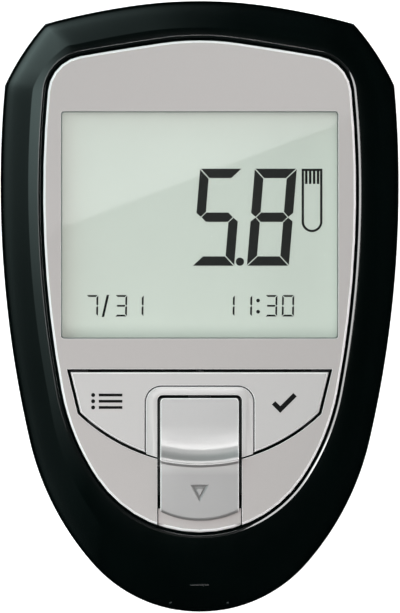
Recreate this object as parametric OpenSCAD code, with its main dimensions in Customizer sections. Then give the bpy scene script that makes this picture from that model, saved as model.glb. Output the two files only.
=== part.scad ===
// Blood glucose meter with a display, a rocking key plate and a strip ejector slide.
// It lies on its back: z = 0 is the resting face, +Z comes out of the display,
// +Y points to the display end and -Y to the test strip end. Millimetres.

/* [Case outline] */
// Width of the case at its widest.
body_w = 64.25; // [61:0.25:72]
// Length of the case from the top edge to the strip end.
body_l = 98.55; // [96:0.05:110]
// Radius of the domed top edge near its middle.
top_radius = 76; // [60:1:110]
// Radius of the flatter ends of the top edge.
top_end_radius = 121; // [90:1:160]
// Turn of the upper, sharper case corner, in degrees.
upper_corner = 33.6; // [28:0.2:38]
// Radius of the cut between the two case corners.
cut_radius = 42; // [30:1:80]
// Turn of the lower case corner, in degrees.
lower_corner = 20; // [14:0.5:26]
// Radius of the long case side.
side_radius = 183; // [140:1:240]
// Radius where the side draws in towards the strip end.
hip_radius = 45.5; // [38:0.5:56]

/* [Case shell] */
// Wall of both case halves.
wall = 2; // [1.6:0.1:2.4]
// Floor of the rear case.
floor_t = 2; // [1.8:0.1:2.4]
// Size of the rounding round the back.
back_round = 5.5; // [4:0.25:6]
// Height of that rounding.
back_rise = 7.5; // [6:0.25:9]
// Slope of the shoulder where it meets the face, as its end angle.
shoulder_end = 78; // [65:1:84]
// How far the case lip and the slide's floor lie below the face.
lip_drop = 0.7; // [0.5:0.05:1]
// Groove between the face plate and the case lip.
groove_w = 0.45; // [0.4:0.05:0.9]
// Width of the ledge along the case lip.
lip_w = 0.42; // [0.3:0.02:0.6]
// Seat of the face plate on the front case.
seat_w = 1.4; // [1:0.1:1.4]
// Thickness of that seat.
seat_t = 1.6; // [1.2:0.1:2]
// Height of the interlocking tongue on the parting line.
tongue_h = 1; // [0.6:0.1:1.4]
// Thickness of that tongue.
tongue_t = 0.75; // [0.5:0.05:0.9]

/* [Face] */
// Black border beside the face plate.
border_side = 7.02; // [6.4:0.02:8]
// Black border above the face plate.
border_top = 6.56; // [5.8:0.02:8]
// Black border below the face plate.
border_low = 12.95; // [12:0.05:15]
// Radius of the face plate's top corners.
face_corner_radius = 6.3; // [5:0.1:8]
// Thickness of the face plate.
face_t = 1.6; // [1.4:0.1:2]
// Chamfer round the face plate.
face_chamfer = 0.3; // [0.2:0.05:0.4]

/* [Display] */
// Silver border at each side of the display opening.
window_side = 2.82; // [2.7:0.02:5]
// Distance from the face plate's top edge to the display opening.
window_top = 11.36; // [10:0.02:13]
// Corner radius of the display opening.
window_corner = 0.5; // [0.3:0.1:1.5]
// Flange of the lens behind the face plate.
lens_flange = 1; // [0.6:0.1:1.1]
// Thickness of that flange.
flange_t = 0.8; // [0.6:0.1:1.2]
// Thickness of the foam frame.
gasket_t = 0.6; // [0.4:0.1:1]
// Thickness of the display glass.
lcd_t = 2.4; // [2:0.1:2.8]
// Height of the display glass above the board.
lcd_lift = 1.6; // [1.2:0.1:2.4]
// Wall of the display holder.
holder_wall = 1.6; // [1:0.1:1.8]

/* [Key plate] */
// Distance from the display opening to the key plate.
key_drop = 5.4; // [4.6:0.1:6]
// Height of the key plate's slanted sides.
key_side_h = 6.83; // [6:0.1:8]
// Lean of those sides towards the strip end, in degrees.
key_lean = 13.7; // [8:0.5:18]
// Silver margin beside the key plate's top corners.
key_margin = 1.95; // [1.7:0.05:3]
// Distance from the face plate's lower edge to the key plate.
key_foot = 11.25; // [10:0.05:12]
// Radius of the key plate's lower edge.
key_arc_radius = 29.4; // [26:0.2:34]
// Height of the key plate at its middle.
key_h = 14.5; // [14:0.1:16]
// Thickness of the key plate.
key_t = 1.4; // [1.2:0.1:1.6]
// Gap round the key plate.
key_gap = 0.5; // [0.3:0.05:0.6]
// Radius of the pin that the key plate rocks on.
axle_r = 0.6; // [0.5:0.05:0.8]
// Depth of that pin below the face.
axle_depth = 3.1; // [2.9:0.1:3.4]
// Distance of each switch from the middle.
switch_x = 15; // [13:0.25:16]
// Width of the square switches.
switch_w = 6; // [4.5:0.1:6]
// Height of the switch body.
switch_h = 3.5; // [2.5:0.1:3.6]

/* [Slide] */
// Width of the slide's cap.
slide_w = 12.6; // [11:0.1:14]
// Length of the slide's cap.
slide_l = 19.7; // [19:0.1:20.5]
// Gap beside the cap.
slide_gap = 0.5; // [0.3:0.05:0.6]
// Travel of the slide towards the strip end.
slide_travel = 4; // [3:0.25:4]
// Width of the rim round the slide.
rim_w = 1.75; // [1.5:0.05:2.2]
// Width of the rim above the slide.
rim_top_w = 1.25; // [1:0.05:1.8]
// Corner radius of that rim.
rim_r = 2.4; // [1.5:0.1:3]
// Distance from the key plate's top edge to the rim.
rim_drop = 2.4; // [2.3:0.05:3]
// Height of the rim above the face.
rim_rise = 0.2; // [0.1:0.05:0.5]
// Width of the rim's sloping side.
rim_slope = 1.1; // [0.5:0.05:1.3]
// Thickness of the cap.
cap_t = 0.8; // [0.7:0.05:1]
// Height of the thumb ridge above the cap.
ridge_h = 1.4; // [1:0.1:1.8]
// Distance from the cap's upper end to the ridge.
ridge_drop = 10; // [9.5:0.1:11.5]
// Radius of the ridge seen from above.
ridge_radius = 28.7; // [24:0.5:36]
// Length of the shallow dish above the ridge.
dish_run = 3; // [2:0.1:4]
// Slope at which the dish meets the ridge's steep side, in degrees.
dish_slope = 10; // [6:1:16]
// Length of that steep side.
ridge_run = 1.8; // [1.4:0.1:2.4]
// Radius of the cap's lower end seen from above.
cap_end_radius = 14.3; // [11:0.2:20]
// Side length of the triangle mark.
mark_w = 2.6; // [2:0.1:3.2]
// Depth of the mark's line.
mark_depth = 0.3; // [0.1:0.05:0.4]
// Radius of the two pins that hold cap and pusher together.
stake_r = 0.8; // [0.6:0.05:0.9]
// Outer radius of the return springs.
spring_r = 1.1; // [0.9:0.05:1.2]

/* [Board and parts] */
// Thickness of the circuit board.
board_t = 1.2; // [0.8:0.1:1.6]
// Gap between the board and the case wall.
board_gap = 1.4; // [1:0.1:2]
// Height of the test strip's level below the board.
strip_level = 1.8; // [1.7:0.1:2.2]
// Width of the test strip's channel.
strip_w = 7.2; // [6:0.1:8]
// Height of the test strip's channel.
strip_h = 1.4; // [1.3:0.1:1.6]
// Length of the strip socket.
socket_l = 14.3; // [12:0.1:14.5]
// Diameter of the buzzer.
buzzer_d = 11; // [9:0.5:11.5]

/* [Battery bay] */
// Diameter of one cell.
cell_d = 10.5; // [10.3:0.1:10.5]
// Length of one cell with its nub.
cell_l = 44.5; // [43.3:0.1:44.5]
// Clearance round the cells.
cell_clear = 0.25; // [0.15:0.05:0.4]
// Length of a contact coil when a cell is in.
coil_l = 4; // [3:0.1:5]
// Thickness of the contact plates.
contact_t = 0.4; // [0.3:0.05:0.5]
// Wall round the battery bay.
bay_wall = 1.8; // [1.4:0.1:2.2]
// Roof of the battery bay.
roof_t = 1; // [0.8:0.1:1.4]
// Gap between that roof and the board.
roof_gap = 0.2; // [0.1:0.05:0.4]
// Distance from the top edge of the case to the bay.
bay_top = 8.8; // [8.4:0.1:10]
// Thickness of the battery door.
door_t = 1.7; // [1.5:0.1:1.9]
// Depth of the door's outer face in the back.
door_sink = 0.2; // [0.15:0.05:0.3]
// Gap round the battery door.
door_gap = 0.2; // [0.15:0.05:0.3]
// Ledge that the door closes on.
door_ledge = 1; // [0.6:0.1:1.2]

/* [Screws] */
// Shank radius of the case screws.
case_screw_r = 0.95; // [0.8:0.05:1.2]
// Head radius of the case screws.
case_head_r = 1.9; // [1.6:0.1:2.2]
// Radius of the case screw posts.
post_r = 3; // [2.8:0.1:3.4]
// Shank radius of the board screws.
board_screw_r = 0.7; // [0.6:0.05:0.9]
// Head radius of the board screws.
board_head_r = 1.5; // [1.2:0.1:1.7]

/* [Hidden] */
$fn = 48;
eps = 0.05;
snug = 0.1;            // clearance between pieces that don't move
run_fit = 0.05;        // radial clearance of pins and bores
slide_clear = 0.3;     // gap below the slide's cap

// Heights, stacked from the back.
z_cell = door_t + cell_clear + cell_d / 2;
z_bay_roof = door_t + cell_clear + cell_d + 0.15;
z_board = z_bay_roof + roof_t + roof_gap;
z_board_top = z_board + board_t;
z_strip = z_board - strip_level;
z_part = z_strip;
z_lcd = z_board_top + lcd_lift;
z_gasket = z_lcd + lcd_t;
z_flange = z_gasket + gasket_t;
z_seat = z_flange + flange_t;
z_face = z_seat + face_t;
z_lip = z_face - lip_drop;
z_axle = z_face - axle_depth;
z_shoulder = z_part + 2.5;
z_key = z_face - key_t;
z_cap = z_lip + slide_clear;
z_cap_top = z_cap + cap_t;

// Case outline: [radius, turn, steps] clockwise from the middle of the top edge.
case_bends = [
    [top_radius, 8.6, 3],
    [top_end_radius, 6.5, 3],
    [0, upper_corner, 0],
    [cut_radius, 16.3, 5],
    [0, lower_corner, 0],
    [side_radius, 18, 8],
    [hip_radius, 28.4, 8]
];
face_bends = [
    [43.4, 8.3, 3],
    [476, 1.6, 3],
    [face_corner_radius, 74.7, 5],
    [173.5, 16.1, 8],
    [37.5, 23.15, 8]
];
last_steps = 7;

face_w = body_w - 2 * border_side;
face_l = body_l - border_top - border_low;
y_top = body_l / 2;
y_face_top = y_top - border_top;
y_face_low = y_face_top - face_l;

function along(bend, dir, part) =
    bend[0] * [sin(dir + bend[1] * part) - sin(dir), cos(dir + bend[1] * part) - cos(dir)];

// Points of the right half of an outline, walked bend by bend; the last bend closes it.
function walk(bends, fine, i = 0, at = [0, 0], dir = 0) =
    i == len(bends)
    ? let (last = [at.x / sin(dir), 180 - dir], n = last_steps * fine)
      [for (k = [1 : n]) at + along(last, dir, k / n)]
    : let (n = bends[i][2] * fine)
      concat(
          [for (k = [1 : 1 : n]) at + along(bends[i], dir, k / n)],
          walk(bends, fine, i + 1, at + along(bends[i], dir, 1), dir + bends[i][1])
      );

// The half outline brought to its width and length, with its top edge at y.
function fitted(bends, fine, width, length, y) =
    let (
        half = concat([[0, 0]], walk(bends, fine)),
        kx = width / 2 / max([for (p = half) p.x]),
        ky = length / -half[len(half) - 1].y
    )
    [for (p = half) [p.x * kx, y + p.y * ky]];

function closed(half) =
    let (n = len(half))
    concat(half, [for (i = [n - 2 : -1 : 1]) [-half[i].x, half[i].y]]);

function unit(v) = v / norm(v);

// A clockwise ring moved inwards by d, or outwards where d is negative.
function inset(ring, d) =
    let (n = len(ring))
    [for (i = [0 : n - 1])
        let (
            a = unit(ring[i] - ring[(i + n - 1) % n]),
            b = unit(ring[(i + 1) % n] - ring[i]),
            t = unit(a + b)
        )
        ring[i] + d / max(0.5, t * b) * [t.y, -t.x]
    ];

function blend(a, b, part) = [for (i = [0 : len(a) - 1]) a[i] * (1 - part) + b[i] * part];
function at_height(ring, z) = [for (p = ring) [p.x, p.y, z]];

// Half width of an outline at a height y, read off its right half.
function half_at(half, y) =
    lookup(y, [for (i = [len(half) - 1 : -1 : 0]) [half[i].y, half[i].x]]);

case_half = fitted(case_bends, 1, body_w, body_l, y_top);
face_half = fitted(face_bends, 1, face_w, face_l, y_face_top);
case_ring = closed(case_half);
face_ring = closed(face_half);
lip_ring = inset(face_ring, -groove_w - lip_w);

// Display and keys: the keys keep their place above the strip end, the display fills the rest.
y_window_top = y_face_top - window_top;
y_key_low = y_face_low + key_foot;
y_key = y_key_low + key_h;
y_window_low = y_key + key_drop;
y_window = (y_window_top + y_window_low) / 2;
window_w = face_w - 2 * window_side;
window_l = y_window_top - y_window_low;
y_key_side = y_key - key_side_h;
key_half = half_at(face_half, y_key) - key_margin;
y_rim = y_key - rim_drop;
channel_w = slide_w + 2 * slide_gap;
rim_half = channel_w / 2 + rim_w;
y_channel = y_rim - rim_top_w;
y_cap = y_channel - slide_gap;
y_cap_low = y_cap - slide_l;
y_ridge = y_cap - ridge_drop;
y_gutter_low = y_cap_low + 2;
y_axle_low = y_rim - 1.5;
y_switch = y_key - key_side_h + 0.8;

lcd_side = 0.75;       // glass beyond the display opening at each side
lcd_foot = 1.7;        // glass below the display opening
y_lcd_low = y_window_low - lcd_foot;
y_lcd_top = y_window_top + 1;
y_holder_low = y_lcd_low - holder_wall;
holder_half = window_w / 2 + lcd_side + holder_wall;
z_holder = z_gasket - 0.7;

// Pusher, below the tray of the slide.
pusher_t = 1.2;
z_tray_low = z_seat - 1;
z_pusher = z_tray_low - 0.8 - pusher_t;
y_stake = y_cap - 5.65;
stake_pitch = 6.5;
pusher_half = 4.5;
arm_t = 1;
arm_half = 1;
y_socket_low = -y_top + wall + board_gap + 0.4;
y_socket = y_socket_low + socket_l;
y_arm = y_socket + 0.2;
ear_t = 1.2;
ear_x = 5.7;
y_ear = y_stake - 0.5;
spring_l = 8;
y_spring_low = y_ear - spring_l;

// Battery bay.
pitch = cell_d + 0.4;
bay_half = pitch / 2 + cell_d / 2 + cell_clear;
bay_l = cell_l + coil_l + 2 * contact_t;
y_bay = y_top - bay_top;
y_bay_low = y_bay - bay_l;
door_half = bay_half + door_ledge - door_gap;
door_hinge_z = (door_t + door_sink) / 2;
door_edge_r = (door_t - door_sink) / 2;
y_door = y_bay + 0.4;
y_door_low = y_bay_low - 0.8;

// Screw places: the upper posts follow the cut corners, the lower ones the narrowing end.
head_clear = 0.3;      // round a screw head
post_side = back_round + case_head_r + head_clear;
y_post_up = y_top - 11;
y_post_low = -y_top + 18.7;
posts = [
    [half_at(case_half, y_post_up) - post_side, y_post_up],
    [half_at(case_half, y_post_low) - post_side, y_post_low]
];
standoff_r = 2.3;
x_beside_bay = bay_half + bay_wall + head_clear;
standoffs = [
    [x_beside_bay + standoff_r, y_lcd_top + holder_wall + board_head_r + head_clear],
    [switch_x + switch_w / 2 + board_head_r, y_holder_low - board_head_r - snug]
];
post_head_z = 4.5;
post_grip = 5;
board_grip = 5;

module mirrored() {
    for (side = [-1, 1]) {
        scale_side(side) children();
    }
}

module scale_side(side) {
    if (side > 0) {
        children();
    } else {
        mirror([1, 0, 0]) children();
    }
}

// A skin over a stack of rings. Capped, it is a solid; looped, it is a ring-shaped solid.
module skin(rings, looped = false) {
    n = len(rings[0]);
    m = len(rings);
    last = looped ? m - 1 : m - 2;
    sides = [for (k = [0 : last], i = [0 : n - 1], half = [0, 1])
        let (
            a = k * n + i,
            b = k * n + (i + 1) % n,
            c = (k + 1) % m * n + (i + 1) % n,
            d = (k + 1) % m * n + i
        )
        half == 0 ? [a, b, c] : [a, c, d]
    ];
    caps = looped ? [] : [
        [for (i = [n - 1 : -1 : 0]) i],
        [for (i = [0 : n - 1]) (m - 1) * n + i]
    ];
    polyhedron([for (ring = rings, p = ring) p], concat(sides, caps));
}

// Flat outline lifted to a plate between two heights.
module plate(low, high) {
    translate([0, 0, low]) linear_extrude(high - low) children();
}

module block(x0, x1, y0, y1, z0, z1) {
    translate([x0, y0, z0]) cube([x1 - x0, y1 - y0, z1 - z0]);
}

module round_box(half_x, y0, y1, r) {
    translate([-half_x + r, y0]) square([2 * half_x - 2 * r, y1 - y0]);
    translate([-half_x, y0 + r]) square([2 * half_x, y1 - y0 - 2 * r]);
    for (x = [-1, 1], y = [y0 + r, y1 - r]) {
        translate([x * (half_x - r), y]) circle(r);
    }
}

// Outline of the key plate, grown by a gap.
module key_outline(grow) {
    lean = tan(key_lean);
    low = y_key_low - 4;
    drop = y_key - low;
    side_grow = grow / cos(key_lean);
    arc_y = y_key_low + key_arc_radius;
    intersection() {
        polygon([
            [-key_half - side_grow - grow * lean, y_key + grow],
            [key_half + side_grow + grow * lean, y_key + grow],
            [key_half + side_grow - drop * lean, low],
            [-key_half - side_grow + drop * lean, low]
        ]);
        intersection_for (side = [-1, 1]) {
            translate([side * 1.1, arc_y]) circle(key_arc_radius + grow, $fn = 180);
        }
    }
}

// Outline of the U-shaped rim round the slide, open to the strip end.
module rim_outline(grow, low) {
    round_box(rim_half + grow, low, y_rim + grow, rim_r + grow);
    translate([-rim_half - grow, low]) square([2 * rim_half + 2 * grow, rim_r + grow + 1]);
}

// The rim as a solid: upright up to the face, then sloping inwards to its crest.
module rim_body(low) {
    y_bend = y_rim - rim_r;
    bend_x = rim_half - rim_r;
    plate(z_key, z_face) rim_outline(0, low);
    translate([0, y_bend, 0]) rotate([90, 0, 0]) linear_extrude(y_bend - low) polygon([
        [-rim_half, z_face],
        [-rim_half + rim_slope, z_face + rim_rise],
        [rim_half - rim_slope, z_face + rim_rise],
        [rim_half, z_face]
    ]);
    translate([-bend_x, 0, 0]) rotate([90, 0, 90]) linear_extrude(2 * bend_x) polygon([
        [low, z_face],
        [low, z_face + rim_rise],
        [y_rim - rim_slope, z_face + rim_rise],
        [y_rim, z_face]
    ]);
    for (x = [-bend_x, bend_x]) {
        translate([x, y_bend, z_face]) cylinder(r1 = rim_r, r2 = rim_r - rim_slope, h = rim_rise);
    }
}

// Outline of the slide's opening in the key plate.
module channel_outline(low) {
    corner = 0.9;
    round_box(channel_w / 2, low, y_channel, corner);
    translate([-channel_w / 2, low]) square([channel_w, 2 * corner]);
}

// Coil along +Z from its foot, as one closed tube.
module coil(radius, end_radius, wire, length, turns) {
    steps = 14;
    sides = 6;
    total = steps * turns;
    rings = [for (k = [0 : total])
        let (part = k / total, turn = 360 * k / steps, r = radius + (end_radius - radius) * part)
        [for (i = [0 : sides - 1])
            let (w = 360 * i / sides, out = r + wire * cos(w))
            [out * cos(turn), out * sin(turn), wire + (length - 2 * wire) * part + wire * sin(w)]
        ]
    ];
    skin(rings);
}

// Height of the shoulder at a part of its way from the outline (0) to the lip (1).
function shoulder_z(part) =
    let (angle = acos(1 - part * (1 - cos(shoulder_end))))
    z_shoulder + (z_lip - z_shoulder) * sin(angle) / sin(shoulder_end);

shoulder_steps = 7;

module front_shell() {
    draft = 0.15;
    bead = 0.25;
    lip_fall = 0.06;
    lip_edge = 0.08;
    side = inset(case_ring, draft);
    groove = inset(face_ring, -groove_w);
    seat = inset(face_ring, seat_w);
    inner = inset(case_ring, wall);
    rebate = inset(case_ring, wall - tongue_t - 0.15);
    shoulder = [for (k = [1 : shoulder_steps])
        let (part = (1 - cos(shoulder_end * k / shoulder_steps)) / (1 - cos(shoulder_end)))
        at_height(blend(side, lip_ring, part), shoulder_z(part))
    ];
    skin(concat(
        [
            at_height(inset(case_ring, bead), z_part),
            at_height(case_ring, z_part + bead),
            at_height(side, z_shoulder)
        ],
        shoulder,
        [
            at_height(inset(groove, -lip_edge), z_lip - lip_fall),
            at_height(groove, z_lip - lip_fall - lip_edge),
            at_height(groove, z_seat),
            at_height(seat, z_seat),
            at_height(seat, z_seat - seat_t),
            at_height(blend(inner, groove, 0.45), z_seat - seat_t - 0.8),
            at_height(inner, z_part + 4.5),
            at_height(inner, z_part + tongue_h + 0.2),
            at_height(rebate, z_part + tongue_h + 0.2),
            at_height(rebate, z_part)
        ]
    ), looped = true);
}

// Opening for the test strip in the end wall, shared by both halves.
module strip_port() {
    half = strip_w / 2 + 0.3;
    high = strip_h + 0.2;
    depth = wall + 1;
    translate([0, -y_top + depth, z_strip]) rotate([90, 0, 0]) linear_extrude(2 * depth) {
        square([2 * half - high, high], center = true);
        for (side = [-1, 1]) {
            translate([side * (half - high / 2), 0]) circle(high / 2);
        }
    }
}

module front_case() {
    dash_half = 1.6;
    dash_w = 0.3;
    dash_rise = 0.18;
    dash_part = 0.39;
    pip_x = 4.45;
    pip_r = 0.4;
    pip_part = 0.165;
    border = border_low - groove_w - lip_w;
    y_dash = -y_top + dash_part * border;
    pocket = 0.2;
    flange_half = window_w / 2 + lens_flange + pocket;
    color("black")
    difference() {
        union() {
            front_shell();
            mirrored() for (p = posts) {
                translate([p.x, p.y, z_part + snug])
                    cylinder(r = post_r - 0.4, h = z_seat - seat_t - z_part);
            }
            // Dash and pips on the lower shoulder that show where a strip goes.
            block(-dash_half, dash_half, y_dash - dash_w / 2, y_dash + dash_w / 2,
                shoulder_z(dash_part) - 1, shoulder_z(dash_part) + dash_rise);
            mirrored() translate([pip_x, -y_top + pip_part * border, shoulder_z(pip_part) - pip_r / 2])
                sphere(r = pip_r, $fn = 24);
        }
        strip_port();
        // Pockets for the lens, the display and its holder, where the face grows narrow.
        block(-flange_half, flange_half, y_lcd_low - pocket, y_lcd_top + pocket, z_lcd, z_seat + eps);
        block(-holder_half - pocket, holder_half + pocket, y_holder_low - pocket, y_lcd_top + holder_wall,
            z_lcd, z_holder + 0.15);
        mirrored() for (p = posts) {
            translate([p.x, p.y, z_part - 1])
                cylinder(r = case_screw_r + run_fit, h = post_grip + 1);
        }
    }
}

module rear_shell() {
    bead = 0.25;
    steps = 6;
    rounded = [for (k = [0 : steps])
        let (angle = 90 * k / steps)
        at_height(inset(case_ring, back_round * (1 - sin(angle))), back_rise * (1 - cos(angle)))
    ];
    tongue_out = inset(case_ring, wall - tongue_t);
    inner = inset(case_ring, wall);
    skin(concat(
        rounded,
        [
            at_height(case_ring, z_part - bead),
            at_height(inset(case_ring, bead), z_part),
            at_height(tongue_out, z_part),
            at_height(tongue_out, z_part + tongue_h),
            at_height(inner, z_part + tongue_h),
            at_height(inner, back_rise),
            at_height(inset(case_ring, wall + 1.2), back_rise / 2),
            at_height(inset(case_ring, wall + 4), floor_t)
        ]
    ));
}

module rear_case() {
    root_z = floor_t - 0.5;
    color("black")
    difference() {
        union() {
            rear_shell();
            block(-bay_half - bay_wall, bay_half + bay_wall, y_bay_low - bay_wall, y_bay + bay_wall,
                floor_t - eps, z_bay_roof + roof_t);
            mirrored() {
                for (p = posts) {
                    translate([p.x, p.y, root_z]) cylinder(r = post_r, h = z_part - root_z);
                }
                for (p = standoffs) {
                    translate([p.x, p.y, root_z]) cylinder(r = standoff_r, h = z_board - root_z);
                }
            }
        }
        // Bay, with the wider rebate for the door below it.
        block(-bay_half, bay_half, y_bay_low, y_bay, -1, z_bay_roof);
        block(-bay_half - door_ledge, bay_half + door_ledge,
            y_door_low - door_gap, y_door + door_edge_r + door_gap, -1, door_t + snug);
        mirrored() {
            block(hook_x - hook_w / 2 - door_gap, hook_x + hook_w / 2 + door_gap, y_bay - 1,
                y_door + door_edge_r + hook_l + 0.4, door_t, z_hook + 3.2);
            for (p = posts) {
                translate([p.x, p.y, -1]) cylinder(r = case_head_r + head_clear, h = post_head_z + 1);
                translate([p.x, p.y, 0]) cylinder(r = case_screw_r + 0.2, h = z_part + 1);
            }
            for (p = standoffs) {
                translate([p.x, p.y, z_board - board_grip])
                    cylinder(r = board_screw_r + run_fit, h = board_grip + 1);
            }
        }
        strip_port();
        // Mouth of the bay's latch, where the door's tongue lies.
        block(-latch_w / 2 - door_gap, latch_w / 2 + door_gap,
            y_door_low - latch_l - door_gap, y_door_low + 1, -1, door_t + snug);
    }
}

hook_w = 2;
hook_x = bay_half - hook_w / 2 - 0.3;
hook_l = 1.1;
hook_t = 0.8;
z_hook = floor_t + 0.1;
latch_w = 9;
latch_l = 2.2;

module battery_door() {
    ridges = 5;
    ridge_step = 1.4;
    ridge_r = 0.4;
    grip_w = 12;
    grip_y = y_door_low + 2.2;
    hook_low = y_door - 2.2;
    color("black")
    difference() {
        union() {
            block(-door_half, door_half, y_door_low, y_door, door_sink, door_t);
            translate([-door_half, y_door, door_hinge_z]) rotate([0, 90, 0])
                cylinder(r = door_edge_r, h = 2 * door_half);
            block(-latch_w / 2, latch_w / 2, y_door_low - latch_l, y_door_low + 1, door_sink, door_t);
            mirrored() translate([hook_x - hook_w / 2, 0, 0]) {
                block(0, hook_w, hook_low, y_door - 0.6, door_t - 0.2, z_hook + hook_t);
                block(0, hook_w, hook_low, y_door + door_edge_r + hook_l - 0.2, z_hook, z_hook + hook_t);
            }
        }
        // Thumb grip: grooves across the lid beside the latch.
        for (k = [0 : ridges - 1]) {
            translate([-grip_w / 2, grip_y + ridge_step * k, door_sink]) rotate([0, 90, 0])
                cylinder(r = ridge_r, h = grip_w, $fn = 24);
        }
    }
}

module face_plate() {
    lug_half = 1.8;
    lug_low = y_key + key_gap + 0.1;
    lug_high = y_holder_low - 0.15;
    color("silver") {
        difference() {
            union() {
                skin([
                    at_height(face_ring, z_seat),
                    at_height(face_ring, z_face - face_chamfer),
                    at_height(inset(face_ring, face_chamfer), z_face)
                ]);
                block(-lug_half, lug_half, lug_low, lug_high, z_axle - 1, z_seat + 0.5);
            }
            plate(z_seat - 1, z_face + 1) {
                translate([0, y_window]) round_box_centred(window_w, window_l, window_corner);
                key_outline(key_gap);
                channel_cut();
            }
            axle_bore(lug_low - 1, 4);
        }
    }
}

module round_box_centred(width, length, r) {
    round_box(width / 2, -length / 2, length / 2, r);
}

// The slide's channel runs out through the lower edge of the face.
module channel_cut() {
    translate([-channel_w / 2, y_face_low - 1]) square([channel_w, y_channel - y_face_low - 2]);
}

module axle_bore(y, length) {
    translate([0, y, z_axle]) rotate([-90, 0, 0]) cylinder(r = axle_r + run_fit, h = length);
}

module display_window() {
    color("white", 0.4) {
        plate(z_seat, z_face)
            translate([0, y_window])
                round_box_centred(window_w - 2 * snug, window_l - 2 * snug, window_corner);
        plate(z_flange, z_seat)
            translate([0, y_window])
                round_box_centred(window_w + 2 * lens_flange, window_l + 2 * lens_flange, window_corner);
    }
}

module lcd_gasket() {
    rim = 0.9;
    color("dimgray")
    plate(z_gasket, z_flange) translate([0, y_window]) difference() {
        round_box_centred(window_w + 2 * rim, window_l + 2 * rim, window_corner);
        round_box_centred(window_w + 0.2, window_l + 0.2, window_corner);
    }
}

module lcd_panel() {
    half = window_w / 2 + lcd_side;
    color("darkseagreen") {
        block(-half, half, y_lcd_low, y_lcd_top, z_lcd, z_lcd + lcd_t / 2);
        block(-half, half, y_window_low - 0.2, y_lcd_top, z_lcd + lcd_t / 2, z_gasket);
        block(-half, half, y_lcd_low, y_window_low - 0.2, z_lcd + lcd_t / 2, z_gasket - 0.3);
    }
}

module lcd_holder() {
    half = window_w / 2 + lcd_side;
    lip = 1.2;
    color("white")
    difference() {
        block(-holder_half, holder_half, y_holder_low, y_lcd_top + holder_wall, z_board_top, z_holder);
        block(-half - snug, half + snug, y_lcd_low - snug, y_lcd_top + snug, z_lcd, z_face);
        block(-half + lip, half - lip, y_lcd_low + lip, y_lcd_top - lip, z_board_top - 1, z_face);
    }
}

module contact_strip() {
    half = window_w / 2 - 1.2;
    y = y_lcd_low + 1.4;
    color("lightgray") block(-half, half, y, y + 1.8, z_board_top, z_lcd);
}

module key_plate() {
    post_h = z_key - (z_board_top + switch_h + 0.5 + 0.55);
    post_foot_r = 1.4;
    chamfer = 0.2;
    foot_w = 0.34;
    foot_depth = 0.3;
    rim_gap = 0.28;
    low = y_key_low - 6;
    lug_r = 1.5;
    lug_low = y_rim + 0.35;
    lug_high = y_key - 0.1;
    color("silver")
    difference() {
        union() {
            difference() {
                union() {
                    plate(z_key, z_face - chamfer) key_outline(0);
                    plate(z_face - chamfer - eps, z_face) key_outline(-chamfer);
                }
                // Groove at the foot of the rim.
                plate(z_face - foot_depth, z_face + 1) difference() {
                    rim_outline(foot_w, low);
                    rim_outline(0, low);
                }
            }
            // The rim's ends come closer to the face plate than the keys do.
            intersection() {
                rim_body(low);
                plate(z_key, z_face + rim_rise) key_outline(key_gap - rim_gap);
            }
            block(-lug_r, lug_r, lug_low, lug_high, z_axle, z_key + 0.2);
            translate([0, lug_low, z_axle]) rotate([-90, 0, 0]) cylinder(r = lug_r, h = lug_high - lug_low);
            mirrored() translate([switch_x, y_switch, z_key - post_h])
                cylinder(r = post_foot_r, h = post_h + 0.2);
        }
        plate(z_key - 1, z_face + 2) channel_outline(low);
        axle_bore(lug_low - 1, 5);
    }
}

module key_axle() {
    high = y_holder_low - 0.2;
    color("dimgray")
    translate([0, y_axle_low, z_axle]) rotate([-90, 0, 0]) cylinder(r = axle_r, h = high - y_axle_low);
}

module key_switches() {
    color("dimgray") mirrored() {
        translate([switch_x, y_switch, 0]) {
            plate(z_board_top, z_board_top + switch_h) square(switch_w, center = true);
            translate([0, 0, z_board_top + switch_h]) cylinder(r = 1.7, h = 0.5);
        }
    }
}

// Tray of the slide: narrow beside the keys, so that open gutters flank it, wide at the strip end.
module slide_bed() {
    slot_half = stake_r + 0.25;
    y_slot = y_stake + stake_r + 0.3;
    y_slot_low = y_stake - stake_pitch - slide_travel - stake_r - 0.3;
    tray_half = slide_w / 2 - 0.1;
    y_wing = y_key_low - 0.6;
    y_wing_low = y_spring_low - 1.4;
    wing_half = half_at(face_half, y_spring_low - 2.2) - seat_w - 1.6;
    gutter_half = channel_w / 2 + 0.4;
    gutter_floor = 0.6;
    ear_half = 1.2;
    lug_half = 1.8;
    lug_high = y_rim - 0.05;
    color("silver")
    difference() {
        union() {
            block(-tray_half, tray_half, y_gutter_low - 1, y_cap, z_tray_low, z_lip);
            // Floor of the gutters, low enough for the key plate to rock above it.
            block(-gutter_half, gutter_half, y_wing - 1, y_cap, z_tray_low, z_tray_low + gutter_floor);
            // Floor of the channel, out to the edge of the face.
            intersection() {
                block(-channel_w / 2 + snug, channel_w / 2 - snug, y_face_low - 1, y_gutter_low,
                    z_seat, z_lip);
                skin([
                    at_height(face_ring, z_seat - 1),
                    at_height(face_ring, z_lip - face_chamfer),
                    at_height(inset(face_ring, face_chamfer), z_lip)
                ]);
            }
            // Wings below the face plate and the end walls of the springs.
            block(-wing_half, wing_half, y_wing_low, y_wing, z_tray_low, z_seat);
            mirrored() block(ear_x - ear_half, ear_x + ear_half, y_wing_low, y_spring_low,
                z_pusher - 0.4, z_seat);
            // Lug for the pin that the key plate rocks on.
            block(-lug_half, lug_half, y_cap - 1, lug_high, z_axle - 1, z_seat - 0.1);
        }
        // Slot for the two stakes.
        plate(z_tray_low - 1, z_face) {
            translate([-slot_half, y_slot_low]) square([2 * slot_half, y_slot - y_slot_low]);
        }
        axle_bore(y_axle_low - snug, 5);
    }
}

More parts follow.
